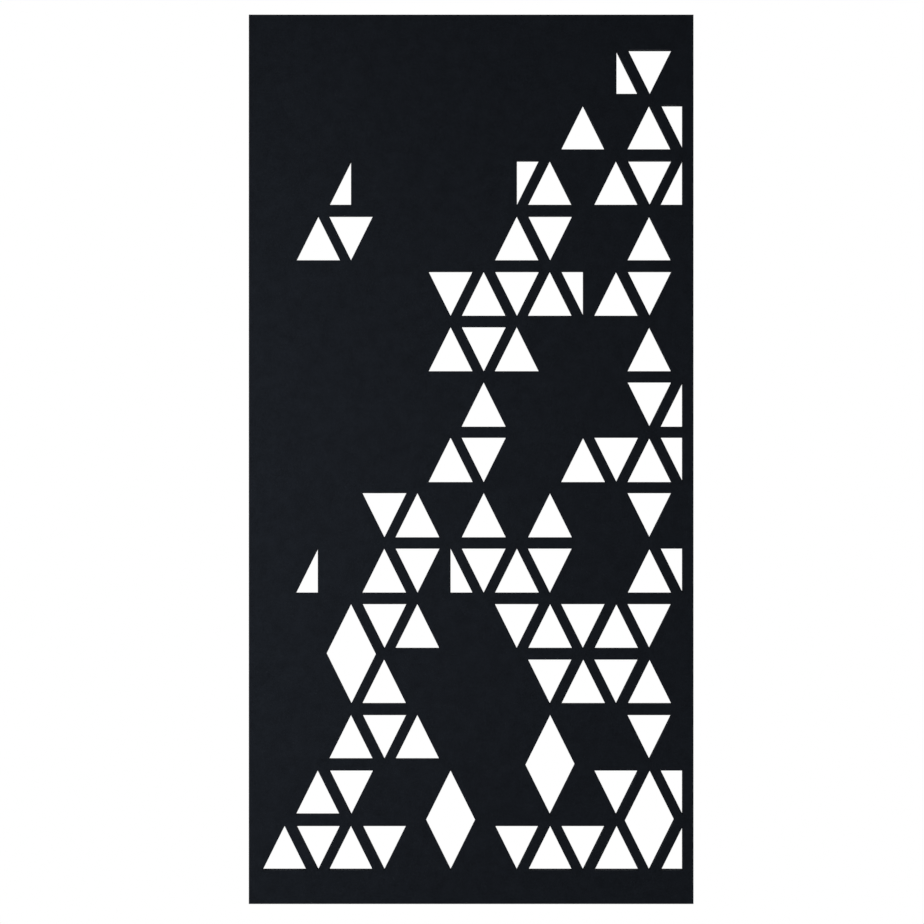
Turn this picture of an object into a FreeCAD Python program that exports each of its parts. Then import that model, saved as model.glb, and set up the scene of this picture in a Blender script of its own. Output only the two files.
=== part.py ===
"""Hanging room divider.

Two felt plies with triangular cut-outs are bonded back to back round a hidden hanging rail.
The origin is the middle of the top edge. X runs to the right, the front faces -Y and Z is up.
"""
import FreeCAD, Part
import math
import os

# Panel
PANEL_WIDTH = 1200.0
PANEL_HEIGHT = 2400.0
PLY_THICKNESS = 12.0
FILM_THICKNESS = 0.3

# Lattice of cut-outs: borders of plain felt, and webs of felt between neighbouring openings
LEFT_BORDER = 37.0
RIGHT_BORDER = 28.5
TOP_BORDER = 94.0
BOTTOM_BORDER = 90.5
SLANT_WEB = 30.0
ROW_WEB = 30.0

# Which cells are cut. Cells point up and down by turns along a row and down a column.
# A and V are whole triangles, l and r are the left and right halves of one, and M with the W
# below it is a diamond, cut through the web between its two rows.
CUT_ROWS = (
    "..........rV.",
    ".........A.Al",
    "..l....rA.AVl",
    ".AV....AV..A.",
    ".....VAVAlAV.",
    ".....AVA...A.",
    "......A....Vl",
    ".....AV..AVAl",
    "...VA.A.A..V.",
    ".l.AVrVAV..Al",
    "..MVA..VAVAV.",
    "..WA....VAVA.",
    "..AVA...M..V.",
    ".AV..M..W.VMl",
    "AVAV.W.VAVAWl",
)

# Hanging rail: a slotted channel with a fin below, set in from the panel's sides
RAIL_END_INSET = 40.0
RAIL_WIDTH = 16.0
RAIL_HEIGHT = 14.0
RAIL_WALL = 1.6
RAIL_LIP = 1.8
SLOT_WIDTH = 8.4
SLOT_EDGE_RADIUS = 0.5
FIN_THICKNESS = 2.0
FIN_HEIGHT = 45.0
POCKET_CLEARANCE = 0.25

# Dowels through the fin
PIN_COUNT = 9
PIN_DIAMETER = 6.0
PIN_LENGTH = 18.0
PIN_CHAMFER = 0.6
PIN_CLEARANCE = 0.1
PIN_DROP = 28.0
PIN_END_DISTANCE = 40.0

# Plugs in the rail's ends
PLUG_LENGTH = 14.0
PLUG_FLANGE = 2.0
PLUG_CLEARANCE = 0.1
PLUG_LEAD_IN = 1.0

# Sliding hangers, with their cable holes set in from the rail's ends
HANGER_INSET = 110.0
HANGER_LENGTH = 44.0
HANGER_BODY_HEIGHT = 6.0
HANGER_CLEARANCE = 0.2
HANGER_EDGE = 0.6
CABLE_HOLE_DIAMETER = 5.0

# Lock screws in the hangers
SCREW_DIAMETER = 5.0
SCREW_LENGTH = 9.5
SCREW_POINT = 0.8
SCREW_HOLE_CLEARANCE = 0.1
SCREW_TIP_GAP = 0.1
SCREW_OFFSET = 13.0
SOCKET_SIDES = 6
SOCKET_ACROSS_FLATS = 2.5
SOCKET_DEPTH = 3.0

# Extra reach of a cutting shape past the face that it cuts
OVERRUN = 5.0

# How far the cosine between two parallel directions may stray from one
PARALLEL_ERROR = 1e-9

# Sizes that follow from the ones above
X_AXIS = FreeCAD.Vector(1, 0, 0)
Y_AXIS = FreeCAD.Vector(0, 1, 0)
Z_AXIS = FreeCAD.Vector(0, 0, 1)
BOTH_HALVES = (-1, 1)

ROW_COUNT = len(CUT_ROWS)
COLUMN_COUNT = len(CUT_ROWS[0])
COLUMN_PITCH = (PANEL_WIDTH - LEFT_BORDER - RIGHT_BORDER + SLANT_WEB) / COLUMN_COUNT
HALF_BASE = COLUMN_PITCH - SLANT_WEB
LATTICE_HEIGHT = PANEL_HEIGHT - TOP_BORDER - BOTTOM_BORDER
CELL_HEIGHT = (LATTICE_HEIGHT - (ROW_COUNT - 1) * ROW_WEB) / ROW_COUNT
ROW_PITCH = CELL_HEIGHT + ROW_WEB
FIRST_AXIS_X = LEFT_BORDER + HALF_BASE - PANEL_WIDTH / 2

FACE_Y = FILM_THICKNESS / 2 + PLY_THICKNESS
RAIL_LENGTH = PANEL_WIDTH - 2 * RAIL_END_INSET
HANGER_X = RAIL_LENGTH / 2 - HANGER_INSET
CAVITY_WIDTH = RAIL_WIDTH - 2 * RAIL_WALL
CAVITY_FLOOR_Z = RAIL_WALL - RAIL_HEIGHT
PIN_Z = -RAIL_HEIGHT - PIN_DROP
POCKET_LENGTH = RAIL_LENGTH + 2 * (PLUG_FLANGE + POCKET_CLEARANCE)


def vector(x, y, z):
    return FreeCAD.Vector(x, y, z)


def polygon_face(points):
    """A flat face bounded by straight lines through the points."""
    return Part.Face(Part.makePolygon(list(points) + [points[0]]))


def box_between(low, high):
    """A box from its lowest to its highest corner."""
    size = high.sub(low)
    return Part.makeBox(size.x, size.y, size.z, low)


def edges_along(shape, axis, keep):
    """The straight edges of a shape that run along an axis and whose middle passes the test."""
    found = []
    for edge in shape.Edges:
        if not isinstance(edge.Curve, Part.Line):
            continue
        if abs(abs(edge.Curve.Direction.dot(axis)) - 1) > PARALLEL_ERROR:
            continue
        if keep(edge.CenterOfMass):
            found.append(edge)
    return found


def save(name, shape):
    shape.exportStep(os.path.join("parts", name + ".step"))


# Cut-outs

def cell_outline(row, column, halves):
    """Corners of one cut cell: the triangle, or only the half of it on one side of its axis."""
    axis_x = FIRST_AXIS_X + column * COLUMN_PITCH
    top = -TOP_BORDER - row * ROW_PITCH
    bottom = top - CELL_HEIGHT
    points_up = (row + column) % 2 == 0
    tip, base = (top, bottom) if points_up else (bottom, top)
    corners = [vector(axis_x, 0, tip)]
    left, right = -1 in halves, 1 in halves
    corners.append(vector(axis_x - HALF_BASE if left else axis_x, 0, base))
    corners.append(vector(axis_x + HALF_BASE if right else axis_x, 0, base))
    return corners


def diamond_outline(row, column):
    """Corners of a diamond: two triangles whose slanted sides run on to meet inside the web."""
    axis_x = FIRST_AXIS_X + column * COLUMN_PITCH
    top = -TOP_BORDER - row * ROW_PITCH
    half_height = CELL_HEIGHT + ROW_WEB / 2
    half_width = HALF_BASE * half_height / CELL_HEIGHT
    middle = top - half_height
    return [
        vector(axis_x, 0, top),
        vector(axis_x + half_width, 0, middle),
        vector(axis_x, 0, middle - half_height),
        vector(axis_x - half_width, 0, middle),
    ]


def cut_outlines():
    """The outline of every opening in the panel."""
    outlines = []
    for row, marks in enumerate(CUT_ROWS):
        for column, mark in enumerate(marks):
            if mark in "AV":
                outlines.append(cell_outline(row, column, BOTH_HALVES))
            elif mark == "l":
                outlines.append(cell_outline(row, column, BOTH_HALVES[:1]))
            elif mark == "r":
                outlines.append(cell_outline(row, column, BOTH_HALVES[1:]))
            elif mark == "M":
                outlines.append(diamond_outline(row, column))
    return outlines


def panel_face():
    """The panel's outline in the plane y = 0, with every opening cut out of it."""
    half = PANEL_WIDTH / 2
    edge = [
        vector(-half, 0, 0),
        vector(half, 0, 0),
        vector(half, 0, -PANEL_HEIGHT),
        vector(-half, 0, -PANEL_HEIGHT),
    ]
    wires = [Part.makePolygon(points + [points[0]]) for points in [edge] + cut_outlines()]
    return Part.makeFace(wires, "Part::FaceMakerBullseye")


def panel_sheet(low_y, high_y):
    """The cut panel as a flat sheet between two depths."""
    face = panel_face()
    face.translate(Y_AXIS * low_y)
    return face.extrude(Y_AXIS * (high_y - low_y))


# Felt plies and the film between them

def pin_places():
    """The dowels' centres along the rail."""
    reach = RAIL_LENGTH - 2 * PIN_END_DISTANCE
    return [reach * (index / (PIN_COUNT - 1) - 1 / 2) for index in range(PIN_COUNT)]


def rail_pocket():
    """The space that both plies leave free for the rail, its plugs and its dowels."""
    half_length = POCKET_LENGTH / 2
    channel_y = RAIL_WIDTH / 2 + POCKET_CLEARANCE
    channel_z = -RAIL_HEIGHT - POCKET_CLEARANCE
    fin_y = FIN_THICKNESS / 2 + POCKET_CLEARANCE
    fin_z = -RAIL_HEIGHT - FIN_HEIGHT - POCKET_CLEARANCE
    channel = box_between(
        vector(-half_length, -channel_y, channel_z), vector(half_length, channel_y, OVERRUN)
    )
    fin = box_between(vector(-half_length, -fin_y, fin_z), vector(half_length, fin_y, OVERRUN))
    hole_reach = PIN_LENGTH / 2 + POCKET_CLEARANCE
    holes = [
        Part.makeCylinder(
            PIN_DIAMETER / 2 + PIN_CLEARANCE, 2 * hole_reach, vector(x, -hole_reach, PIN_Z), Y_AXIS
        )
        for x in pin_places()
    ]
    return channel.fuse([fin] + holes)


def front_felt():
    return panel_sheet(-FACE_Y, -FILM_THICKNESS / 2).cut(rail_pocket())


def rear_felt():
    return panel_sheet(FILM_THICKNESS / 2, FACE_Y).cut(rail_pocket())


def bonding_film():
    return panel_sheet(-FILM_THICKNESS / 2, FILM_THICKNESS / 2).cut(rail_pocket())


# Hanging rail and its dowels

def rail_section():
    """The rail's profile in the plane x = 0, as a face."""
    outer, inner = RAIL_WIDTH / 2, CAVITY_WIDTH / 2
    slot, fin = SLOT_WIDTH / 2, FIN_THICKNESS / 2
    right_side = [
        (slot, 0),
        (outer, 0),
        (outer, -RAIL_HEIGHT),
        (fin, -RAIL_HEIGHT),
        (fin, -RAIL_HEIGHT - FIN_HEIGHT),
    ]
    inside = [(inner, CAVITY_FLOOR_Z), (inner, -RAIL_LIP), (slot, -RAIL_LIP)]
    mirrored = [(-y, z) for y, z in reversed(right_side)]
    inside_left = [(-y, z) for y, z in reversed(inside)]
    outline = right_side + mirrored + inside_left + inside
    return polygon_face([vector(0, y, z) for y, z in outline])


def hanging_rail():
    section = rail_section()
    section.translate(X_AXIS * (-RAIL_LENGTH / 2))
    rail = section.extrude(X_AXIS * RAIL_LENGTH)
    slot_edges = edges_along(rail, X_AXIS, lambda at: at.z > -RAIL_LIP / 2 and abs(at.y) < CAVITY_WIDTH / 2)
    rail = rail.makeFillet(SLOT_EDGE_RADIUS, slot_edges)
    hole_radius = PIN_DIAMETER / 2 + PIN_CLEARANCE
    hole_reach = FIN_THICKNESS / 2 + OVERRUN
    holes = [
        Part.makeCylinder(hole_radius, 2 * hole_reach, vector(x, -hole_reach, PIN_Z), Y_AXIS)
        for x in pin_places()
    ]
    return rail.cut(holes)


def rail_pins():
    pins = []
    for x in pin_places():
        pin = Part.makeCylinder(PIN_DIAMETER / 2, PIN_LENGTH, vector(x, -PIN_LENGTH / 2, PIN_Z), Y_AXIS)
        rims = [edge for edge in pin.Edges if isinstance(edge.Curve, Part.Circle)]
        pins.append(pin.makeChamfer(PIN_CHAMFER, rims))
    return Part.makeCompound(pins)


# End plugs

def rail_plug(side):
    """A plug in one end of the rail: a body in the cavity behind a flange that covers the end."""
    end = RAIL_LENGTH / 2
    flange = box_between(
        vector(end, -RAIL_WIDTH / 2, -RAIL_HEIGHT), vector(end + PLUG_FLANGE, RAIL_WIDTH / 2, 0)
    )
    body_y = CAVITY_WIDTH / 2 - PLUG_CLEARANCE
    neck_y = SLOT_WIDTH / 2 - PLUG_CLEARANCE
    body = box_between(
        vector(end - PLUG_LENGTH, -body_y, CAVITY_FLOOR_Z + PLUG_CLEARANCE),
        vector(end, body_y, -RAIL_LIP - PLUG_CLEARANCE),
    )
    nose = edges_along(body, Y_AXIS, lambda at: at.x < end - PLUG_LENGTH / 2)
    nose += edges_along(body, Z_AXIS, lambda at: at.x < end - PLUG_LENGTH / 2)
    body = body.makeChamfer(PLUG_LEAD_IN, nose)
    neck = box_between(
        vector(end - PLUG_LENGTH + PLUG_LEAD_IN, -neck_y, -RAIL_HEIGHT / 2), vector(end, neck_y, 0)
    )
    plug = flange.fuse([body, neck]).removeSplitter()
    return plug if side > 0 else plug.mirror(vector(0, 0, 0), X_AXIS)


# Hangers and their lock screws

def hanger(side):
    """A T-shaped block that hooks under the rail's lips, drilled for the cable and the lock screw."""
    x = side * HANGER_X
    half = HANGER_LENGTH / 2
    body_y = CAVITY_WIDTH / 2 - HANGER_CLEARANCE
    neck_y = SLOT_WIDTH / 2 - HANGER_CLEARANCE
    shoulder_z = -RAIL_LIP - HANGER_CLEARANCE
    bottom_z = shoulder_z - HANGER_BODY_HEIGHT
    body = box_between(vector(x - half, -body_y, bottom_z), vector(x + half, body_y, shoulder_z))
    body = body.makeChamfer(HANGER_EDGE, edges_along(body, Z_AXIS, lambda at: True))
    neck = box_between(
        vector(x - half + HANGER_EDGE, -neck_y, bottom_z + HANGER_BODY_HEIGHT / 2),
        vector(x + half - HANGER_EDGE, neck_y, 0),
    )
    block = body.fuse(neck).removeSplitter()
    depth = OVERRUN - bottom_z + OVERRUN
    low = bottom_z - OVERRUN
    cable_hole = Part.makeCylinder(CABLE_HOLE_DIAMETER / 2, depth, vector(x, 0, low), Z_AXIS)
    screw_hole = Part.makeCylinder(
        SCREW_DIAMETER / 2 + SCREW_HOLE_CLEARANCE, depth, vector(screw_x(side), 0, low), Z_AXIS
    )
    return block.cut([cable_hole, screw_hole])


def screw_x(side):
    """The lock screw's place along the rail, on the inner side of its hanger's cable hole."""
    return side * (HANGER_X - SCREW_OFFSET)


def lock_screw(side):
    """A set screw with a hexagon socket on top and a flat point just off the rail's floor."""
    tip_z = CAVITY_FLOOR_Z + SCREW_TIP_GAP
    screw = Part.makeCylinder(SCREW_DIAMETER / 2, SCREW_LENGTH, vector(screw_x(side), 0, tip_z), Z_AXIS)
    rim = [edge for edge in screw.Edges if isinstance(edge.Curve, Part.Circle)]
    point = [edge for edge in rim if edge.CenterOfMass.z < tip_z + SCREW_LENGTH / 2]
    screw = screw.makeChamfer(SCREW_POINT, point)
    corner_radius = SOCKET_ACROSS_FLATS / 2 / math.cos(math.pi / SOCKET_SIDES)
    top_z = tip_z + SCREW_LENGTH
    corners = []
    for index in range(SOCKET_SIDES):
        turn = 2 * math.pi * index / SOCKET_SIDES
        corners.append(vector(
            screw_x(side) + corner_radius * math.cos(turn), corner_radius * math.sin(turn), top_z
        ))
    socket = polygon_face(corners).extrude(Z_AXIS * -SOCKET_DEPTH)
    return screw.cut(socket)


def main():
    os.makedirs("parts", exist_ok=True)
    save("front_felt", front_felt())
    save("rear_felt", rear_felt())
    save("bonding_film", bonding_film())
    save("hanging_rail", hanging_rail())
    save("rail_pins", rail_pins())
    for side, word in ((-1, "left"), (1, "right")):
        save("rail_plug_" + word, rail_plug(side))
        save("hanger_" + word, hanger(side))
        save("lock_screw_" + word, lock_screw(side))


main()
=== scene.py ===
"""Dresses the hanging felt divider: eased felt plies, hidden hanging hardware and a white studio."""
import math

import bpy
from bpy.props import FloatProperty, FloatVectorProperty, PointerProperty
from bpy.types import Operator, Panel, PropertyGroup
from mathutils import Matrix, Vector


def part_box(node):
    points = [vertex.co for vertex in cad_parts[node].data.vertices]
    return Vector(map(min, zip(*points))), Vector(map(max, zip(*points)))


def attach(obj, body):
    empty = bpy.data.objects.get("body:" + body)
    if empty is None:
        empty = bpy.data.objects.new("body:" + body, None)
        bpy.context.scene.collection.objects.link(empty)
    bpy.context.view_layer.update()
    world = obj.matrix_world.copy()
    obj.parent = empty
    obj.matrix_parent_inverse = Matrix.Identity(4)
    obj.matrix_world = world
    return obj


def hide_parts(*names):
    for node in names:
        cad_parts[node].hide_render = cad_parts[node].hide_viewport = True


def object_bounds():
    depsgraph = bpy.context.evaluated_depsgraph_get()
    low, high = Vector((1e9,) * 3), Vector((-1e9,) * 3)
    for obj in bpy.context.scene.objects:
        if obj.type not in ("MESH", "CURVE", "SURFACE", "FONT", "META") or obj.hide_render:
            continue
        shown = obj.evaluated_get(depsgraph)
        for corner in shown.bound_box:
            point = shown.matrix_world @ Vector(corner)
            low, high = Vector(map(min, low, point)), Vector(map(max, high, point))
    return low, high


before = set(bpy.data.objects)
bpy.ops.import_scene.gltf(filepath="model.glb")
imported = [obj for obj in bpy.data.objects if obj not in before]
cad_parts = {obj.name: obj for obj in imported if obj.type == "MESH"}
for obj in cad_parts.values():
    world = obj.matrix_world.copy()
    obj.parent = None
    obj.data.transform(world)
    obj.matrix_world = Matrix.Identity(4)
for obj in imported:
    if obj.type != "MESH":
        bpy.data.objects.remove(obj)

CAD_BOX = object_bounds()

bl_info = {
    "name": "Hanging Felt Divider",
    "version": (1, 0, 0),
    "blender": (4, 5, 0),
    "location": "View3D > Sidebar > Divider",
    "description": "Makes the felt plies, the hanging hardware and the studio of a hanging room divider",
    "category": "Object",
}

SIDES = ("left", "right")
PLIES = ("front", "rear")
MM = 0.001
UP = Vector((0, 0, 1))
WHITE = (1.0, 1.0, 1.0, 1.0)

# Sockets of a Mix node that is set to colours
MIX_FACTOR = 0
MIX_FIRST = 6
MIX_SECOND = 7
MIX_COLOUR = 2

# Two steps that round an edge: how far in and how far out each goes, as shares of the radius
ROUNDING_SHARES = ((0.293, 0.707), (0.707, 0.293))
# Cosines of a face's turn from an axis: it lies flat above the first and stands upright below the second
FLAT_COSINE = 0.999
UPRIGHT_COSINE = 0.05
# Edges below the first angle are dissolved, and edges above the second are eased
FLAT_ANGLE = math.radians(1.0)
EASE_ANGLE = math.radians(40.0)
EASE_SEGMENTS = 2
# Points this close are one point, and a cut's slivers up to the second size are cleaned away
MERGE_DISTANCE = 1e-7
SLIVER = 2e-6

# Sides of round pieces and cutters, and steps along a thread
THREAD_SEGMENTS = 28
STEPS_PER_PITCH = 6
MOUTH_SEGMENTS = 45
DRILL_SIDES = 40
HEXAGON = 6
# How far a cutter goes past the face that it starts from, as a share of its depth
OVERRUN_SHARE = 0.25
# Turns of thread by which the tap and the drill go past a hanger, above it and below it
TAP_OVERRUN_TURNS = 2
# Depth of the chamfer at the mouth of a drilled hole, as a share of the eased edge
DRILL_MOUTH_SHARE = 2.0

# Angles at which the fibres cross on the face of the felt, in degrees
FIBRE_ANGLES = (14, 52, 88, 131, 167)
STRAND_ANGLES = (31, 109, 150)
HAIR_ANGLES = (5, 48, 96, 139)
# Sizes of strands and hairs as shares of a fibre's, and of a hair's curl as a share of its length
STRAND_WIDTH_SHARE = 4.0
STRAND_LENGTH_SHARE = 2.5
HAIR_LENGTH_SHARE = 1.4
CURL_SHARE = 2.0
# Mean heights of the two mats of fibres, which are taken off so that the tone stays centred
FIBRE_MEAN = 0.75
STRAND_MEAN = 0.7
# Sharpness of a fibre's ridge, and the levels of noise between which a stray hair shows
RIDGE_POWER = 5.0
HAIR_START = 0.77
HAIR_FULL = 0.84
# How far from a needle mark its pit is deepest and ends, as shares of the marks' spacing
PIT_SHARES = (0.05, 0.35)
# Height of the nap on a cut wall, as a share of the face's
CUT_NAP_SHARE = 2.0
# Felt this dark has next to no gloss
FELT_GLOSS = 0.02
FELT_SHEEN_ROUGHNESS = 0.5
# The darkest and palest shares of the felt's colour, and the order of its finishes on a ply
FELT_DARKEST = 0.25
FACE_PALEST = 1.75
# The rounded edge goes paler than the face and the cut wall: a painted highlight along the edge, over its
# fibre ends.
EDGE_HIGHLIGHT_PALEST = 1.9
CUT_PALEST = 1.55
FELT_FACE, FELT_EDGE, FELT_CUT = range(3)

# Cells of the patterns that run one way: along the panel, through its depth and up it
FELT_LAYER_CELL = (5.6 * MM, 0.7 * MM, 5.6 * MM)
DIE_LINE_CELL = (170 * MM, 0.2 * MM, 0.2 * MM)
DIE_BAND_CELL = (600 * MM, 0.8 * MM, 0.8 * MM)
SMEAR_CELL = (33 * MM, 2.5 * MM, 2.5 * MM)
DRAWN_LINE_CELL = (30 * MM, 0.25 * MM, 0.25 * MM)
BEECH_GRAIN_CELL = (0.63 * MM, 11 * MM, 0.63 * MM)
BEECH_FLECK_CELL = (0.42 * MM, 2.4 * MM, 0.42 * MM)
# Sizes of the patterns that are alike all ways
FIBRE_END_SIZE = 0.42 * MM
TUFT_SIZE = 2.4 * MM
MELT_SIZE = 1.4 * MM
PLATING_CLOUD_SIZE = 3.8 * MM
PLATING_GRAIN_SIZE = 0.24 * MM
OIL_SIZE = 1.1 * MM
SPARK_SIZE = 0.31 * MM
FLOW_SIZE = 8.3 * MM
FLOOR_GRAIN_SIZE = 3.3 * MM
# Heights of the bumps that the patterns make
MELT_HEIGHT = 0.1 * MM
DIE_LINE_HEIGHT = 0.04 * MM
PLATING_HEIGHT = 0.03 * MM
OIL_HEIGHT = 0.03 * MM
SPARK_HEIGHT = 0.05 * MM
BEECH_HEIGHT = 0.05 * MM
# Width of the rubbed strip beside the rail's slot, and the levels at which it starts and is full
RUBBED_WIDTH = 0.7 * MM
RUBBED_LEVELS = (-1.2 * MM, -0.2 * MM)

# Where the floor starts to melt into the white and where it is white, as shares of its reach
RIM_SHARES = (0.15, 0.7)
BACK_RIM_SHARES = (0.15, 0.97)


# Shader sums

class Signal:
    """A shader socket that Python's operators can do sums with."""

    def __init__(self, finish, socket):
        self.finish = finish
        self.socket = socket

    def output(self, name):
        """Another output of the same node."""
        return Signal(self.finish, self.socket.node.outputs[name])

    def maths(self, operation, first, second=0.0):
        return self.finish.node("ShaderNodeMath", {"operation": operation}, {0: first, 1: second})

    def __add__(self, other):
        return self.maths("ADD", self, other)

    def __radd__(self, other):
        return self.maths("ADD", other, self)

    def __sub__(self, other):
        return self.maths("SUBTRACT", self, other)

    def __rsub__(self, other):
        return self.maths("SUBTRACT", other, self)

    def __mul__(self, other):
        return self.maths("MULTIPLY", self, other)

    def __rmul__(self, other):
        return self.maths("MULTIPLY", other, self)

    def __pow__(self, other):
        return self.maths("POWER", self, other)

    def __rpow__(self, other):
        return self.maths("POWER", other, self)

    def __abs__(self):
        return self.maths("ABSOLUTE", self)

    def at_least(self, other):
        return self.maths("MAXIMUM", self, other)


class Finish:
    """One material's node tree, from its coordinates to its shader."""

    def __init__(self, owner):
        self.owner = owner
        owner.use_nodes = True
        self.tree = owner.node_tree
        self.tree.nodes.clear()

    def node(self, kind, settings=None, sockets=None, output=0):
        """Adds a node, sets it up, then fills or links its sockets, and gives one of its outputs."""
        made = self.tree.nodes.new(kind)
        for name, value in (settings or {}).items():
            setattr(made, name, value)
        for key, value in (sockets or {}).items():
            if isinstance(value, Signal):
                self.tree.links.new(value.socket, made.inputs[key])
            else:
                made.inputs[key].default_value = value
        return Signal(self, made.outputs[output]) if made.outputs else None

    def place(self):
        """Object coordinates, in metres."""
        return self.node("ShaderNodeTexCoord", output="Object")

    def laid(self, place, cell, turn=0.0):
        """Coordinates turned about the depth of the panel, then stretched to cells of a size."""
        turned = self.node("ShaderNodeMapping", {"vector_type": "TEXTURE"}, {
            "Vector": place,
            "Rotation": (0.0, math.radians(turn), 0.0),
        })
        return self.node("ShaderNodeMapping", {"vector_type": "POINT"}, {
            "Vector": turned,
            "Scale": tuple(1 / side for side in cell),
        })

    def noise(self, place, size=1.0, detail=2.0, roughness=0.5, output="Fac"):
        """Soft random patches of a size."""
        return self.node("ShaderNodeTexNoise", None, {
            "Vector": place,
            "Scale": 1 / size,
            "Detail": detail,
            "Roughness": roughness,
        }, output)

    def ramp(self, value, low, high):
        """Runs from 0 to 1, smoothly, as the value goes from low to high."""
        return self.node("ShaderNodeMapRange", {"interpolation_type": "SMOOTHSTEP"}, {
            "Value": value,
            "From Min": low,
            "From Max": high,
        })

    def blend(self, factor, first, second):
        """Mixes two colours."""
        return self.node("ShaderNodeMix", {"data_type": "RGBA"}, {
            MIX_FACTOR: factor,
            MIX_FIRST: first,
            MIX_SECOND: second,
        }, MIX_COLOUR)

    def shades(self, factor, value, low, high):
        """One colour that runs from a darker to a lighter share of itself."""
        return self.blend(factor, colour(value, low), colour(value, high))

    def bump(self, height, distance, strength=0.5):
        """A normal from a pattern that stands a distance high."""
        return self.node("ShaderNodeBump", None, {
            "Height": height,
            "Distance": distance,
            "Strength": strength,
        })

    def shader(self, **sockets):
        """A surface shader. Underscores in a socket's name stand for spaces."""
        named = {key.replace("_", " "): value for key, value in sockets.items()}
        return self.node("ShaderNodeBsdfPrincipled", None, named)

    def end(self, shader):
        """Ends the tree and gives the material."""
        self.node("ShaderNodeOutputMaterial", None, {"Surface": shader})
        return self.owner

    def surface(self, **sockets):
        """Ends the tree in one surface shader."""
        return self.end(self.shader(**sockets))


def new_finish(name):
    return Finish(bpy.data.materials.new(name))


def colour(value, share=1.0):
    """A property's colour as a socket takes it, made darker or lighter by a share."""
    return (value[0] * share, value[1] * share, value[2] * share, 1.0)


# Finishes of the felt

def fibre_mat(finish, place, width, length, angles):
    """The uppermost of many thin ridges: fibres that lie flat and cross at several angles."""
    top = None
    for angle in angles:
        lay = finish.laid(place, (length, width, width), angle)
        ridge = (1.0 - abs(finish.noise(lay, detail=1.0) * 2.0 - 1.0)) ** RIDGE_POWER
        top = top.at_least(ridge) if top else ridge
    return top


def stray_hairs(finish, place, width, length, angles):
    """Few single hairs that curl over the face, each lot at its own angle."""
    curl = finish.noise(place, length * CURL_SHARE, output="Color")
    curled = finish.node("ShaderNodeVectorMath", {"operation": "MULTIPLY_ADD"}, {
        0: curl,
        1: (length,) * 3,
        2: place,
    })
    hairs = None
    for angle in angles:
        lay = finish.laid(curled, (length, width, width), angle)
        lot = finish.ramp(finish.noise(lay, detail=0.0), HAIR_START, HAIR_FULL)
        hairs = hairs.at_least(lot) if hairs else lot
    return hairs


def felt_face_finish(felt):
    """The needled face of the felt: crossing fibres, soft clouds of density, a few pale hairs and painted
    shade in the needle pits.
    """
    finish = new_finish("black_felt_face")
    place = finish.place()
    fibres = fibre_mat(finish, place, felt.fibre_width, felt.fibre_length, FIBRE_ANGLES)
    strand_width = felt.fibre_width * STRAND_WIDTH_SHARE
    strand_length = felt.fibre_length * STRAND_LENGTH_SHARE
    strands = fibre_mat(finish, place, strand_width, strand_length, STRAND_ANGLES)
    clouds = finish.noise(place, felt.cloud_size, detail=3.0, roughness=0.55)
    needled = finish.node("ShaderNodeTexVoronoi", None, {
        "Vector": place,
        "Scale": 1 / felt.needle_spacing,
    }, "Distance")
    pits = 1.0 - finish.ramp(needled, *PIT_SHARES)
    hair_length = felt.fibre_length * HAIR_LENGTH_SHARE
    hairs = stray_hairs(finish, place, felt.fibre_width, hair_length, HAIR_ANGLES)
    mats = (fibres - FIBRE_MEAN) * 0.95 + (strands - STRAND_MEAN) * 0.4
    # The needle pits are sunk in the bump and also painted darker: painted shade in each pit.
    tone = 0.51 + mats + (clouds - 0.5) * 0.45 - pits * 0.2
    height = fibres * 0.6 + strands - pits * 0.5 + hairs * 0.5
    felted = finish.shades(tone, felt.colour, FELT_DARKEST, FACE_PALEST)
    return finish.surface(
        Base_Color=finish.blend(hairs * 0.6, felted, colour(felt.hair_colour)),
        Roughness=0.9 + (clouds - 0.5) * 0.2,
        Specular_IOR_Level=FELT_GLOSS,
        Sheen_Weight=0.02,
        Sheen_Roughness=FELT_SHEEN_ROUGHNESS,
        Sheen_Tint=colour(felt.sheen_colour),
        Normal=finish.bump(height, felt.nap_height, strength=0.8),
    )


def felt_cut_finish(name, felt, palest):
    """The cut wall of the felt: layers that run along the ply, with ends of cut fibres."""
    finish = new_finish(name)
    place = finish.place()
    layers = finish.noise(finish.laid(place, FELT_LAYER_CELL), detail=3.0, roughness=0.65)
    ends = finish.noise(place, FIBRE_END_SIZE, roughness=0.7)
    tufts = finish.noise(place, TUFT_SIZE, detail=3.0, roughness=0.6)
    tone = 0.52 + (layers - 0.5) * 1.0 + (ends - 0.5) * 1.0 + (tufts - 0.5) * 0.9
    height = layers + ends * 0.7 + tufts
    return finish.surface(
        Base_Color=finish.shades(tone, felt.colour, FELT_DARKEST, palest),
        Roughness=0.8 + ends * 0.2,
        Specular_IOR_Level=FELT_GLOSS,
        Sheen_Weight=0.01,
        Sheen_Roughness=FELT_SHEEN_ROUGHNESS,
        Sheen_Tint=colour(felt.sheen_colour),
        Normal=finish.bump(height, felt.nap_height * CUT_NAP_SHARE, strength=0.8),
    )


def film_finish(hardware):
    """The dull melted film between the plies."""
    finish = new_finish("melted_film")
    melt = finish.noise(finish.place(), MELT_SIZE, detail=3.0, roughness=0.6)
    return finish.surface(
        Base_Color=finish.shades(melt, hardware.film_colour, 0.6, 1.4),
        Roughness=0.6 + melt * 0.3,
        Specular_IOR_Level=0.05,
        Normal=finish.bump(melt, MELT_HEIGHT),
    )


# Finishes of the hardware

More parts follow.
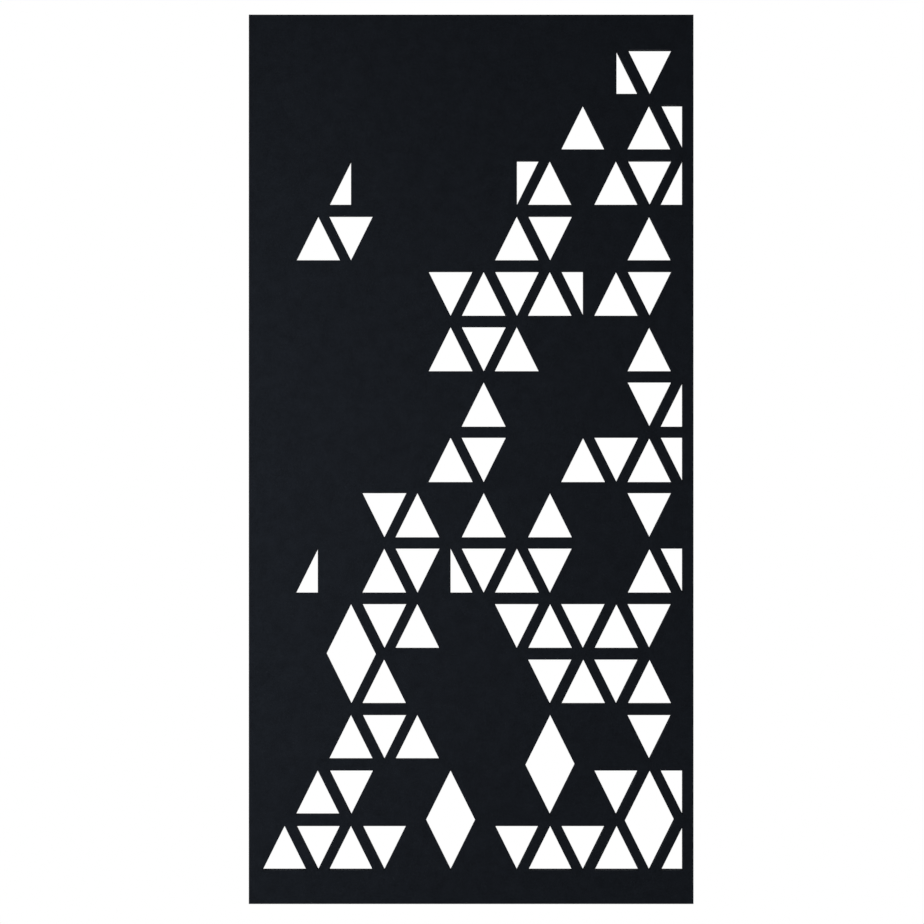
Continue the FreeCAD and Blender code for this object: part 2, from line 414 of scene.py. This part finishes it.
def anodised_finish(hardware):
    """Black anodised extrusion: fine die lines along the rail, rubbed paler at the slot's edges."""
    finish = new_finish("black_anodised")
    place = finish.place()
    fine = finish.noise(finish.laid(place, DIE_LINE_CELL), detail=3.0, roughness=0.65)
    broad = finish.noise(finish.laid(place, DIE_BAND_CELL), detail=1.0)
    lines = fine * 0.5 + broad * 0.5
    smears = finish.noise(finish.laid(place, SMEAR_CELL))
    split = finish.node("ShaderNodeSeparateXYZ", None, {"Vector": place})
    from_edge = abs(abs(split.output("Y")) - hardware.slot_half_width)
    slot_edge = 1.0 - finish.ramp(from_edge, 0.0, RUBBED_WIDTH)
    near_top = finish.ramp(split.output("Z"), *RUBBED_LEVELS)
    rubbed = slot_edge * near_top * finish.ramp(smears, 0.45, 0.7)
    black = finish.shades(lines, hardware.rail_colour, 0.35, 1.65)
    return finish.surface(
        Base_Color=finish.blend(rubbed * 0.7, black, colour(hardware.bare_metal_colour)),
        Metallic=1.0,
        Roughness=0.3 + lines * 0.24 + smears * 0.1,
        Normal=finish.bump(lines, DIE_LINE_HEIGHT),
    )


def zinc_finish(hardware):
    """Zinc plating on drawn bar: fine lines along the bar, cloudy patches and a faint passivated tint."""
    finish = new_finish("zinc_plated")
    place = finish.place()
    clouds = finish.noise(place, PLATING_CLOUD_SIZE, detail=4.0, roughness=0.6)
    grain = finish.noise(place, PLATING_GRAIN_SIZE, roughness=0.6)
    lines = finish.noise(finish.laid(place, DRAWN_LINE_CELL), detail=3.0, roughness=0.6)
    tinted = finish.ramp(clouds, 0.5, 0.75)
    plated = finish.shades(clouds * 0.5 + lines * 0.5, hardware.zinc_colour, 0.7, 1.25)
    return finish.surface(
        Base_Color=finish.blend(tinted * 0.35, plated, colour(hardware.tint_colour)),
        Metallic=1.0,
        Roughness=0.2 + clouds * 0.14 + grain * 0.08 + lines * 0.12,
        Normal=finish.bump(grain * 0.5 + lines, PLATING_HEIGHT),
    )


def oxide_finish(hardware):
    """Oiled black oxide on the lock screws."""
    finish = new_finish("black_oxide")
    oil = finish.noise(finish.place(), OIL_SIZE, detail=3.0, roughness=0.6)
    return finish.surface(
        Base_Color=finish.shades(oil, hardware.oxide_colour, 0.6, 1.5),
        Metallic=0.9,
        Roughness=0.3 + oil * 0.25,
        Normal=finish.bump(oil, OIL_HEIGHT, strength=0.4),
    )


def nylon_finish(hardware):
    """Moulded black nylon with a fine sparked texture."""
    finish = new_finish("moulded_nylon")
    place = finish.place()
    sparks = finish.noise(place, SPARK_SIZE, roughness=0.6)
    flow = finish.noise(place, FLOW_SIZE)
    return finish.surface(
        Base_Color=finish.shades(flow, hardware.nylon_colour, 0.8, 1.25),
        Roughness=0.46 + sparks * 0.2,
        Normal=finish.bump(sparks, SPARK_HEIGHT),
    )


def beech_finish(hardware):
    """Plain beech with its grain along the dowel."""
    finish = new_finish("beech_dowel")
    place = finish.place()
    grain = finish.noise(finish.laid(place, BEECH_GRAIN_CELL), detail=4.0, roughness=0.65)
    flecks = finish.noise(finish.laid(place, BEECH_FLECK_CELL), detail=1.0)
    rays = finish.ramp(flecks, 0.56, 0.68)
    wood = finish.shades(grain, hardware.beech_colour, 0.7, 1.2)
    return finish.surface(
        Base_Color=finish.blend(rays * 0.4, wood, colour(hardware.beech_colour, 0.55)),
        Roughness=0.55 + grain * 0.2,
        Normal=finish.bump(grain, BEECH_HEIGHT),
    )


# Modelling steps

def deselect():
    bpy.ops.object.select_all(action="DESELECT")


def work_on(piece):
    """Makes one object the only one selected, and the active one."""
    deselect()
    piece.select_set(True)
    bpy.context.view_layer.objects.active = piece


def enter_edit():
    """Enters edit mode with everything selected."""
    bpy.ops.object.mode_set(mode="EDIT")
    bpy.ops.mesh.select_mode(type="FACE")
    bpy.ops.mesh.select_all(action="SELECT")


def leave_edit():
    bpy.ops.object.mode_set(mode="OBJECT")


def pick_faces(piece, test):
    """Enters edit mode with only the faces that pass the test selected."""
    enter_edit()
    bpy.ops.mesh.select_all(action="DESELECT")
    leave_edit()
    for face in piece.data.polygons:
        face.select = test(face)
    bpy.ops.object.mode_set(mode="EDIT")


def copy_of_node(node, name):
    """A new object with a merged copy of a node's mesh."""
    piece = bpy.data.objects.new(name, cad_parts[node].data.copy())
    bpy.context.scene.collection.objects.link(piece)
    piece.data.materials.clear()
    work_on(piece)
    enter_edit()
    bpy.ops.mesh.remove_doubles(threshold=MERGE_DISTANCE)
    leave_edit()
    return piece


def turned_copy(piece, name):
    """A copy with its own mesh, turned half round the upright line through the panel's middle."""
    copy = piece.copy()
    copy.data = piece.data.copy()
    copy.name = name
    bpy.context.scene.collection.objects.link(copy)
    work_on(copy)
    bpy.ops.transform.rotate(value=math.pi, orient_axis="Z", center_override=(0, 0, 0))
    bpy.ops.object.transform_apply(location=True, rotation=True, scale=True)
    return copy


def named_primitive(name):
    """Names the primitive that was just added, and puts its place in its mesh."""
    piece = bpy.context.object
    piece.name = name
    bpy.ops.object.transform_apply(location=True, rotation=True, scale=True)
    return piece


def new_box(name, low, high):
    """A box between two corners."""
    deselect()
    bpy.ops.mesh.primitive_cube_add(size=1.0, location=(low + high) / 2)
    bpy.context.object.scale = high - low
    return named_primitive(name)


def new_rod(name, foot, radius, length, sides):
    """An upright rod."""
    deselect()
    bpy.ops.mesh.primitive_cylinder_add(
        vertices=sides, radius=radius, depth=length, location=foot + UP * length / 2)
    return named_primitive(name)


def new_cone(name, foot, low_radius, high_radius, length, sides):
    """An upright cone, or a part of one."""
    deselect()
    bpy.ops.mesh.primitive_cone_add(
        vertices=sides, radius1=low_radius, radius2=high_radius, depth=length,
        location=foot + UP * length / 2)
    return named_primitive(name)


def new_threaded_rod(name, foot, core, crest, pitch, length):
    """An upright rod with a real helical thread that runs out at both ends."""
    deselect()
    bpy.ops.mesh.primitive_circle_add(
        vertices=THREAD_SEGMENTS, radius=core, fill_type="NGON", location=foot)
    rod = named_primitive(name)
    steps = round(length / pitch * STEPS_PER_PITCH)
    enter_edit()
    for _ in range(steps):
        bpy.ops.mesh.extrude_region_move(TRANSFORM_OT_translate={"value": UP * length / steps})
    bpy.ops.mesh.select_all(action="SELECT")
    bpy.ops.mesh.normals_make_consistent(inside=False)
    leave_edit()
    for vertex in rod.data.vertices:
        out = vertex.co - foot
        turn = math.atan2(out.y, out.x) / math.tau
        phase = (out.z / pitch - turn) % 1.0
        run_out = max(0.0, min(1.0, out.z / pitch, (length - out.z) / pitch))
        radius = core + (crest - core) * run_out * (1.0 - abs(2.0 * phase - 1.0))
        vertex.co.x = foot.x + radius * math.cos(turn * math.tau)
        vertex.co.y = foot.y + radius * math.sin(turn * math.tau)
    return rod


def new_countersink(name, mouth, radius, depth):
    """A cone that chamfers the mouth of a hole, with a little above the mouth to cut cleanly."""
    rise = depth * OVERRUN_SHARE
    return new_cone(name, mouth - UP * depth, radius - depth, radius + rise, depth + rise, MOUTH_SEGMENTS)


def cut_away(piece, *cutters):
    """Takes each cutter out of a piece, then removes the cutter and any slivers that it left."""
    work_on(piece)
    for cutter in cutters:
        cut = piece.modifiers.new("cut", "BOOLEAN")
        cut.operation = "DIFFERENCE"
        cut.solver = "EXACT"
        cut.object = cutter
        bpy.ops.object.modifier_apply(modifier=cut.name)
        bpy.data.objects.remove(cutter)
    enter_edit()
    bpy.ops.mesh.remove_doubles(threshold=SLIVER)
    bpy.ops.mesh.dissolve_degenerate(threshold=SLIVER)
    leave_edit()


def ease_edges(piece, width):
    """Bevels the sharp edges of a piece."""
    work_on(piece)
    bevel = piece.modifiers.new("ease", "BEVEL")
    bevel.width = width
    bevel.segments = EASE_SEGMENTS
    bevel.limit_method = "ANGLE"
    bevel.angle_limit = EASE_ANGLE
    bevel.use_clamp_overlap = True
    bpy.ops.object.modifier_apply(modifier=bevel.name)


def settle(piece, body, node):
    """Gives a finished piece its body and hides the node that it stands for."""
    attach(piece, body)
    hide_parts(node)


def settle_pair(left, body, node, finish):
    """Finishes a left piece, copies it to the right and settles both. Braces stand for the side."""
    left.data.materials.clear()
    left.data.materials.append(finish)
    right = turned_copy(left, left.name.replace(*SIDES))
    for side, piece in zip(SIDES, (left, right)):
        settle(piece, body.format(side), node.format(side))


def dress_node(node, finish):
    """Gives a carried-over node a better material."""
    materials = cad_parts[node].data.materials
    materials.clear()
    materials.append(finish)


# Felt

def felt_slot(face):
    """The finish that a face of a ply takes: the needled face, its rounded edge or a cut wall."""
    towards_front = abs(face.normal.y)
    if towards_front < UPRIGHT_COSINE:
        return FELT_CUT
    return FELT_EDGE if towards_front < FLAT_COSINE else FELT_FACE


def make_ply(word, felt, finishes):
    """One ply of felt: a copy of the cut sheet with the edges of its outer face rounded."""
    node = word + "_felt"
    low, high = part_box(node)
    outward = Vector((0, -1 if word == "front" else 1, 0))
    level = max(low.y * outward.y, high.y * outward.y) - felt.edge_radius
    ply = copy_of_node(node, word + "_ply")

    def on_outer_face(face):
        return face.normal.dot(outward) > FLAT_COSINE and face.center.dot(outward) > level

    pick_faces(ply, on_outer_face)
    bpy.ops.transform.translate(value=outward * -felt.edge_radius)
    for inward, out in ROUNDING_SHARES:
        bpy.ops.mesh.inset(
            thickness=felt.edge_radius * inward, depth=felt.edge_radius * out, use_even_offset=True)
    leave_edit()
    for finish in finishes:
        ply.data.materials.append(finish)
    for face in ply.data.polygons:
        face.material_index = felt_slot(face)
    settle(ply, "panel", node)


# Rail plugs, hangers and lock screws

def make_plug(hardware):
    """The left rail plug, with eased edges and a notch for the screwdriver that pulls it out."""
    low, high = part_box("rail_plug_left")
    plug = copy_of_node("rail_plug_left", "left_rail_plug")
    enter_edit()
    bpy.ops.mesh.dissolve_limited(angle_limit=FLAT_ANGLE)
    leave_edit()
    ease_edges(plug, hardware.plug_edge)
    middle = Vector(((low.x + high.x) / 2, 0, high.z))
    reach = Vector((hardware.notch_width / 2, hardware.notch_length / 2, hardware.notch_depth))
    notch = new_box("notch", middle - reach, middle + reach)
    ease_edges(notch, hardware.plug_edge)
    cut_away(plug, notch)
    return plug


def make_hanger(hardware):
    """The left hanger: a T-shaped block, tapped for the cable and drilled for its lock screw."""
    low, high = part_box("hanger_left")
    screw_low, screw_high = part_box("lock_screw_left")
    shoulder = high - UP * hardware.neck_height
    block = new_box("left_hanger_block", low, shoulder)
    pick_faces(block, lambda face: face.normal.z > FLAT_COSINE)
    bpy.ops.mesh.inset(thickness=hardware.neck_setback)
    neck_share = hardware.neck_width / (high.y - low.y - 2 * hardware.neck_setback)
    bpy.ops.transform.resize(value=(1.0, neck_share, 1.0))
    bpy.ops.mesh.extrude_region_move(TRANSFORM_OT_translate={"value": UP * hardware.neck_height})
    leave_edit()
    ease_edges(block, hardware.block_edge)
    tap_mouth = Vector(((low.x + high.x) / 2, 0, high.z))
    drill_mouth = Vector(((screw_low.x + screw_high.x) / 2, 0, high.z))
    drill_radius = (screw_high.y - screw_low.y) / 2 + hardware.screw_room
    reach = hardware.thread_pitch * TAP_OVERRUN_TURNS
    depth = high.z - low.z
    through = depth + 2 * reach
    below = UP * -(depth + reach)
    tap = new_threaded_rod(
        "tap", tap_mouth + below, hardware.thread_core, hardware.thread_crest, hardware.thread_pitch,
        through)
    drill = new_rod("drill", drill_mouth + below, drill_radius, through, DRILL_SIDES)
    tap_sink = new_countersink(
        "tap_sink", tap_mouth, hardware.thread_crest + hardware.block_edge, hardware.mouth_depth)
    drill_sink = new_countersink(
        "drill_sink", drill_mouth, drill_radius + hardware.block_edge,
        hardware.block_edge * DRILL_MOUTH_SHARE)
    cut_away(block, tap, drill, tap_sink, drill_sink)
    return block


def make_lock_screw(hardware):
    """The left lock screw, with a fine thread, a cupped point and a hexagon socket."""
    low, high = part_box("lock_screw_left")
    crest = (high.y - low.y) / 2
    core = crest - hardware.screw_depth
    foot = Vector(((low.x + high.x) / 2, 0, low.z))
    top = Vector((foot.x, 0, high.z))
    screw = new_threaded_rod("left_lock_screw", foot, core, crest, hardware.screw_pitch, high.z - low.z)
    socket_radius = hardware.socket_width / math.sqrt(3)
    socket = new_rod(
        "socket", top - UP * hardware.socket_depth, socket_radius, hardware.socket_depth * 2, HEXAGON)
    cup_radius = core - hardware.screw_depth
    cup_foot = foot - UP * hardware.screw_depth * OVERRUN_SHARE
    cup = new_cone("cup", cup_foot, cup_radius, 0.0, cup_radius, THREAD_SEGMENTS)
    cut_away(screw, socket, cup)
    return screw


# Studio

def aim(thing, target):
    """Turns a lamp or the camera to look at a point."""
    thing.rotation_mode = "QUATERNION"
    thing.rotation_quaternion = (target - thing.location).to_track_quat("-Z", "Y")


def add_softbox(name, place, target, size, power):
    deselect()
    bpy.ops.object.light_add(type="AREA", location=place)
    lamp = bpy.context.object
    lamp.name = name
    lamp.data.shape = "RECTANGLE"
    lamp.data.size = size[0]
    lamp.data.size_y = size[1]
    lamp.data.energy = power
    lamp.visible_camera = False
    aim(lamp, target)
    return lamp


def make_lamps(stage):
    """A softbox before the panel, its opposite behind, and a wide one above that lights the floor."""
    middle = (CAD_BOX[0] + CAD_BOX[1]) / 2
    aside = Vector(stage.key_place)
    above = middle + Vector(stage.top_place)
    add_softbox("key_softbox", middle + aside, middle, stage.key_size, stage.key_power)
    add_softbox("back_softbox", middle - aside, middle, stage.key_size, stage.back_power)
    top = add_softbox("top_softbox", above, above - UP, stage.top_size, stage.top_power)
    top.visible_glossy = False


def seen_directly(finish):
    """1 on rays from the camera, from a mirror surface or through glass, else 0."""
    path = finish.node("ShaderNodeLightPath", output="Is Camera Ray")
    return path.at_least(path.output("Is Glossy Ray")).at_least(path.output("Is Transmission Ray"))


def make_backdrop(stage):
    """Pure white behind the panel, and a dimmer even light on it."""
    world = bpy.data.worlds.new("white_studio")
    bpy.context.scene.world = world
    finish = Finish(world)
    even = finish.node("ShaderNodeBackground", None, {"Color": WHITE, "Strength": stage.ambient})
    white = finish.node("ShaderNodeBackground", None, {"Color": WHITE, "Strength": 1.0})
    mixed = finish.node("ShaderNodeMixShader", None, {0: seen_directly(finish), 1: even, 2: white})
    finish.node("ShaderNodeOutputWorld", None, {"Surface": mixed})


def floor_finish(stage, behind):
    """A pale matte floor that takes shadows and melts into the white at its rims."""
    finish = new_finish("pale_floor")
    place = finish.place()
    split = finish.node("ShaderNodeSeparateXYZ", None, {"Vector": place})
    rim = [stage.floor_reach * share for share in RIM_SHARES]
    side_rim = finish.ramp(abs(split.output("X")), *rim)
    front_rim = finish.ramp(0.0 - split.output("Y"), *rim)
    back_rim = finish.ramp(split.output("Y"), *(behind * share for share in BACK_RIM_SHARES))
    melted = side_rim.at_least(front_rim).at_least(back_rim)
    grain = finish.noise(place, FLOOR_GRAIN_SIZE, detail=3.0, roughness=0.6)
    matte = finish.shader(
        Base_Color=finish.shades(grain, stage.floor_colour, 0.98, 1.0),
        Roughness=1.0,
        Specular_IOR_Level=0.0,
    )
    white = finish.node("ShaderNodeEmission", None, {"Color": WHITE, "Strength": 1.0})
    shown = melted * seen_directly(finish)
    mixed = finish.node("ShaderNodeMixShader", None, {0: shown, 1: matte, 2: white})
    return finish.end(mixed)


def make_floor(stage):
    """A floor below the hung panel that ends behind it, just before the camera would see it."""
    low, high = CAD_BOX
    level = low.z - stage.floor_drop
    eye_z = (low.z + high.z) / 2 + stage.eye_rise
    half_view = stage.sensor / 2 / stage.lens
    behind = (eye_z - level) / half_view - stage.distance - stage.floor_margin
    deselect()
    bpy.ops.mesh.primitive_plane_add(size=1.0, location=(0, (behind - stage.floor_reach) / 2, level))
    bpy.context.object.scale = (2 * stage.floor_reach, behind + stage.floor_reach, 1.0)
    floor = named_primitive("studio_floor")
    floor.data.materials.append(floor_finish(stage, behind))


def make_camera(stage):
    """A camera straight in front of the panel."""
    low, high = CAD_BOX
    eye = Vector((stage.eye_shift, low.y - stage.distance, (low.z + high.z) / 2 + stage.eye_rise))
    deselect()
    bpy.ops.object.camera_add(location=eye)
    camera = bpy.context.object
    camera.data.sensor_width = stage.sensor
    camera.data.lens = stage.lens
    aim(camera, eye + Vector((0, 1, 0)))
    bpy.context.scene.camera = camera


# Settings

def length_setting(name, description, default):
    """A setting in metres."""
    return FloatProperty(name=name, description=description, default=default, unit="LENGTH")


def colour_setting(name, description, default):
    """A setting that is a colour."""
    return FloatVectorProperty(
        name=name, description=description, default=default, size=3, subtype="COLOR", min=0.0, max=1.0)


class DividerFelt(PropertyGroup):
    """Sizes and colours of the felt."""

    colour: colour_setting("Felt", "Colour of the felt", (0.0071, 0.0087, 0.0116))
    hair_colour: colour_setting("Hairs", "Colour of stray pale hairs", (0.035, 0.039, 0.045))
    sheen_colour: colour_setting("Sheen", "Tint of the fuzz at a glancing angle", (0.5, 0.55, 0.62))
    edge_radius: length_setting("Edge radius", "Rounding of the cut edges on the outer face", 0.6 * MM)
    fibre_width: length_setting("Fibre width", "Width of a strand of fibres", 0.4 * MM)
    fibre_length: length_setting("Fibre length", "Length of a strand of fibres", 5 * MM)
    nap_height: length_setting("Nap height", "Height of the fibres on the face", 0.25 * MM)
    cloud_size: length_setting("Cloud size", "Size of the patches of denser felt", 30 * MM)
    needle_spacing: length_setting("Needle spacing", "Distance between needle marks", 2.8 * MM)


class DividerHardware(PropertyGroup):
    """Sizes and colours of the hanging hardware."""

    rail_colour: colour_setting("Rail", "Colour of the black anodised rail", (0.03, 0.03, 0.033))
    bare_metal_colour: colour_setting("Bare metal", "Colour of the rail's worn edges", (0.4, 0.4, 0.41))
    zinc_colour: colour_setting("Zinc", "Colour of the plated hangers", (0.46, 0.46, 0.445))
    tint_colour: colour_setting("Zinc tint", "Passivated tint on the plating", (0.4, 0.43, 0.48))
    oxide_colour: colour_setting("Black oxide", "Colour of the lock screws", (0.03, 0.029, 0.028))
    nylon_colour: colour_setting("Nylon", "Colour of the end plugs", (0.015, 0.015, 0.016))
    beech_colour: colour_setting("Beech", "Colour of the dowels", (0.55, 0.4, 0.24))
    film_colour: colour_setting("Film", "Colour of the bonding film", (0.006, 0.006, 0.007))
    slot_half_width: length_setting("Half slot", "Half the width of the rail's slot", 4.2 * MM)
    neck_width: length_setting("Neck width", "Width of a hanger's neck in the slot", 8 * MM)
    neck_height: length_setting("Neck height", "Height of a hanger's neck", 2 * MM)
    neck_setback: length_setting("Neck setback", "How far the neck stops short of the block", 0.6 * MM)
    block_edge: length_setting("Block edge", "Easing of a hanger's edges", 0.3 * MM)
    thread_core: length_setting("Thread core", "Inner radius of the cable thread", 2.5 * MM)
    thread_crest: length_setting("Thread crest", "Outer radius of the cable thread", 3 * MM)
    thread_pitch: length_setting("Thread pitch", "Pitch of the cable thread", 1 * MM)
    mouth_depth: length_setting("Mouth depth", "Depth of the chamfer at the cable thread's mouth", 0.9 * MM)
    notch_width: length_setting("Notch width", "Width of the notch that pulls a plug out", 1.6 * MM)
    notch_length: length_setting("Notch length", "Length of the notch that pulls a plug out", 5 * MM)
    notch_depth: length_setting("Notch depth", "Depth of the notch that pulls a plug out", 1.4 * MM)
    plug_edge: length_setting("Plug edge", "Easing of a plug's edges", 0.25 * MM)
    screw_room: length_setting("Screw room", "Clearance round a lock screw", 0.1 * MM)
    screw_pitch: length_setting("Screw pitch", "Pitch of a lock screw's thread", 0.8 * MM)
    screw_depth: length_setting("Screw depth", "Depth of a lock screw's thread", 0.4 * MM)
    socket_width: length_setting("Socket width", "Lock screw socket across its flats", 2.5 * MM)
    socket_depth: length_setting("Socket depth", "Depth of a lock screw's socket", 3 * MM)


class DividerStage(PropertyGroup):
    """Camera, floor and light."""

    distance: length_setting("Distance", "From the camera to the front face", 5.0)
    lens: FloatProperty(name="Lens", description="Focal length", default=72.2, unit="CAMERA")
    sensor: FloatProperty(name="Sensor", description="Width of the sensor", default=36.0, unit="CAMERA")
    eye_shift: length_setting("Eye shift", "Camera to the right of the panel's middle", -24.7 * MM)
    eye_rise: length_setting("Eye rise", "Camera above the panel's middle", -7.3 * MM)
    floor_drop: length_setting("Floor drop", "From the bottom edge down to the floor", 0.25)
    floor_reach: length_setting("Floor reach", "How far the floor goes to the front and the sides", 3.2)
    floor_margin: length_setting("Floor margin", "How far the floor stays out of the front view", 0.06)
    floor_colour: colour_setting("Floor", "Colour of the floor", (0.9, 0.9, 0.9))
    ambient: FloatProperty(name="Ambient", description="Even light from all round", default=0.34, min=0.0)
    key_place: FloatVectorProperty(
        name="Key place", description="Front softbox from the panel's middle", default=(-1.5, -1.8, 0.0),
        size=3, subtype="TRANSLATION", unit="LENGTH")
    key_size: FloatVectorProperty(
        name="Key size", description="Width and height of the front and back softboxes",
        default=(1.2, 1.6), size=2, unit="LENGTH")
    key_power: FloatProperty(
        name="Key power", description="Softbox in front, to the left", default=44.5, unit="POWER")
    back_power: FloatProperty(
        name="Back power", description="Softbox behind, for the rear face", default=28.0, unit="POWER")
    top_place: FloatVectorProperty(
        name="Top place", description="Top softbox from the panel's middle", default=(0.0, 2.1, 4.8),
        size=3, subtype="TRANSLATION", unit="LENGTH")
    top_size: FloatVectorProperty(
        name="Top size", description="Width and depth of the top softbox", default=(5.0, 4.0),
        size=2, unit="LENGTH")
    top_power: FloatProperty(
        name="Top power", description="Softbox high above the top edge", default=170.0, unit="POWER")


# Operators

class DIVIDER_OT_felt_plies(Operator):
    """Make both plies of felt with rounded cut edges"""

    bl_idname = "divider.felt_plies"
    bl_label = "Felt plies"

    def execute(self, context):
        felt = context.scene.divider_felt
        finishes = (
            felt_face_finish(felt),
            # The rounded edge takes the cut wall's pattern, painted paler as a highlight along the edge.
            felt_cut_finish("black_felt_edge", felt, EDGE_HIGHLIGHT_PALEST),
            felt_cut_finish("black_felt_cut", felt, CUT_PALEST),
        )
        for word in PLIES:
            make_ply(word, felt, finishes)
        return {"FINISHED"}


class DIVIDER_OT_bonding_film(Operator):
    """Finish the film between the plies"""

    bl_idname = "divider.bonding_film"
    bl_label = "Bonding film"

    def execute(self, context):
        dress_node("bonding_film", film_finish(context.scene.divider_hardware))
        return {"FINISHED"}


class DIVIDER_OT_hanging_rail(Operator):
    """Finish the rail in the top edge"""

    bl_idname = "divider.hanging_rail"
    bl_label = "Hanging rail"

    def execute(self, context):
        dress_node("hanging_rail", anodised_finish(context.scene.divider_hardware))
        return {"FINISHED"}


class DIVIDER_OT_rail_dowels(Operator):
    """Finish the dowels through the rail's fin"""

    bl_idname = "divider.rail_dowels"
    bl_label = "Rail dowels"

    def execute(self, context):
        dress_node("rail_pins", beech_finish(context.scene.divider_hardware))
        return {"FINISHED"}


class DIVIDER_OT_rail_plugs(Operator):
    """Make the two plugs in the rail's ends"""

    bl_idname = "divider.rail_plugs"
    bl_label = "Rail plugs"

    def execute(self, context):
        hardware = context.scene.divider_hardware
        nylon = nylon_finish(hardware)
        settle_pair(make_plug(hardware), "panel", "rail_plug_{}", nylon)
        return {"FINISHED"}


class DIVIDER_OT_hangers(Operator):
    """Make the two sliding hangers"""

    bl_idname = "divider.hangers"
    bl_label = "Hangers"

    def execute(self, context):
        hardware = context.scene.divider_hardware
        zinc = zinc_finish(hardware)
        settle_pair(make_hanger(hardware), "{}_hanger", "hanger_{}", zinc)
        return {"FINISHED"}


class DIVIDER_OT_lock_screws(Operator):
    """Make the two lock screws"""

    bl_idname = "divider.lock_screws"
    bl_label = "Lock screws"

    def execute(self, context):
        hardware = context.scene.divider_hardware
        oxide = oxide_finish(hardware)
        settle_pair(make_lock_screw(hardware), "{}_lock", "lock_screw_{}", oxide)
        return {"FINISHED"}


class DIVIDER_OT_stage(Operator):
    """Set up the camera, the floor, the lamps and the white backdrop"""

    bl_idname = "divider.stage"
    bl_label = "Studio"

    def execute(self, context):
        stage = context.scene.divider_stage
        make_camera(stage)
        make_floor(stage)
        make_backdrop(stage)
        make_lamps(stage)
        context.scene.view_settings.view_transform = "Standard"
        return {"FINISHED"}


class DIVIDER_PT_sidebar(Panel):
    """Lists the steps that make the divider."""

    bl_idname = "DIVIDER_PT_sidebar"
    bl_label = "Hanging Felt Divider"
    bl_space_type = "VIEW_3D"
    bl_region_type = "UI"
    bl_category = "Divider"

    def draw(self, context):
        scene = context.scene
        for operator in OPERATORS:
            self.layout.operator(operator.bl_idname)
        for settings in (scene.divider_felt, scene.divider_hardware, scene.divider_stage):
            box = self.layout.box()
            for name in settings.__annotations__:
                box.prop(settings, name)


OPERATORS = (
    DIVIDER_OT_felt_plies,
    DIVIDER_OT_bonding_film,
    DIVIDER_OT_hanging_rail,
    DIVIDER_OT_rail_dowels,
    DIVIDER_OT_rail_plugs,
    DIVIDER_OT_hangers,
    DIVIDER_OT_lock_screws,
    DIVIDER_OT_stage,
)
CLASSES = (DividerFelt, DividerHardware, DividerStage) + OPERATORS + (DIVIDER_PT_sidebar,)


def register():
    for item in CLASSES:
        bpy.utils.register_class(item)
    bpy.types.Scene.divider_felt = PointerProperty(type=DividerFelt)
    bpy.types.Scene.divider_hardware = PointerProperty(type=DividerHardware)
    bpy.types.Scene.divider_stage = PointerProperty(type=DividerStage)


def unregister():
    del bpy.types.Scene.divider_stage
    del bpy.types.Scene.divider_hardware
    del bpy.types.Scene.divider_felt
    for item in reversed(CLASSES):
        bpy.utils.unregister_class(item)


def main():
    register()
    bpy.ops.divider.felt_plies()
    bpy.ops.divider.bonding_film()
    bpy.ops.divider.hanging_rail()
    bpy.ops.divider.rail_dowels()
    bpy.ops.divider.rail_plugs()
    bpy.ops.divider.hangers()
    bpy.ops.divider.lock_screws()
    bpy.ops.divider.stage()


if __name__ == "__main__":
    main()
